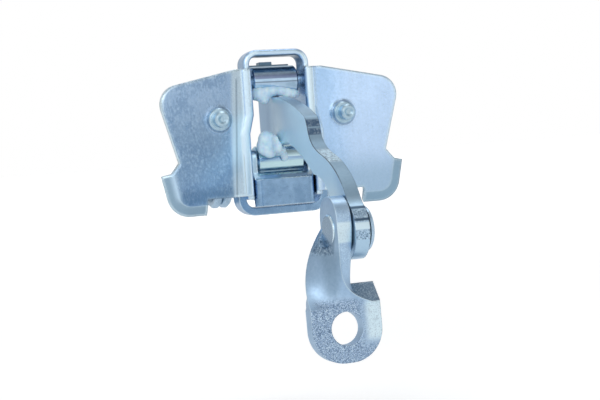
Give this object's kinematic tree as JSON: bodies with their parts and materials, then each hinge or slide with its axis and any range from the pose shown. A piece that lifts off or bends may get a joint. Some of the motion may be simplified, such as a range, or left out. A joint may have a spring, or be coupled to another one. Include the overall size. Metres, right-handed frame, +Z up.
{
  "type": "door limiter strap",
  "caption": "Roller door check: a swept stud-mounted housing with sprung rollers gripping a curved cam arm that ends in a pivoting twisted bolt bracket.",
  "frame": {"origin": "midway between the axes of the mounting studs, on the plane where the door seats in front of the stud collars", "axes": "+X along the roller axes, -Y out of the door along the studs, +Z up across the rollers"},
  "size_m": [0.0972, 0.1064, 0.1091],
  "materials": {
    "zinc_stamping": "blue-white zinc plate, lightly mottled",
    "zinc_strap": "zinc plate",
    "zinc_arm": "smooth zinc plate",
    "zinc_bracket": "zinc plate with a fine speckle",
    "zinc_fastener": "zinc plate",
    "roller_steel": "ground steel, greased",
    "pin_steel": "ground steel",
    "spring_wire": "drawn wire, zinc plate"
  },
  "bodies": {
    "housing": {"housing_bracket": "zinc_stamping", "yoke_strap": "zinc_strap", "stud_left": "zinc_fastener", "stud_right": "zinc_fastener", "upper_roller_pin": "pin_steel", "carrier_pivot_pin": "pin_steel", "spring_left": "spring_wire", "spring_right": "spring_wire"},
    "top_roller": {"upper_roller": "roller_steel"},
    "carrier": {"roller_carrier": "zinc_strap", "lower_roller_pin": "pin_steel"},
    "bottom_roller": {"lower_roller": "roller_steel"},
    "arm": {"check_arm": "zinc_arm"},
    "bracket": {"end_bracket": "zinc_bracket", "pivot_rivet": "zinc_fastener", "pivot_washer": "pin_steel"}
  },
  "joints": [
    {"name": "upper_roller_spin", "type": "hinge", "parent": "housing", "child": "top_roller", "pos_m": [0, 0.0122, 0.0138], "axis": [1, 0, 0], "continuous": true},
    {"name": "carrier_rock", "type": "hinge", "parent": "housing", "child": "carrier", "pos_m": [0, 0.0222, -0.0268], "axis": [1, 0, 0], "range_deg": [0, 5], "stiffness_Nm_per_rad": 20, "springref_deg": -5.73, "deforming": ["spring_left", "spring_right"]},
    {"name": "lower_roller_spin", "type": "hinge", "parent": "carrier", "child": "bottom_roller", "pos_m": [0, 0.0122, -0.0169], "axis": [1, 0, 0], "continuous": true},
    {"name": "arm_travel", "type": "hinge", "parent": "housing", "child": "arm", "pos_m": [0, 0.0122, -0.0977], "axis": [-1, 0, 0], "range_deg": [0, 38]},
    {"name": "bracket_pivot", "type": "hinge", "parent": "arm", "child": "bracket", "pos_m": [0, -0.0643, -0.04], "axis": [1, 0, 0], "range_deg": [-60, 50]}
  ]
}
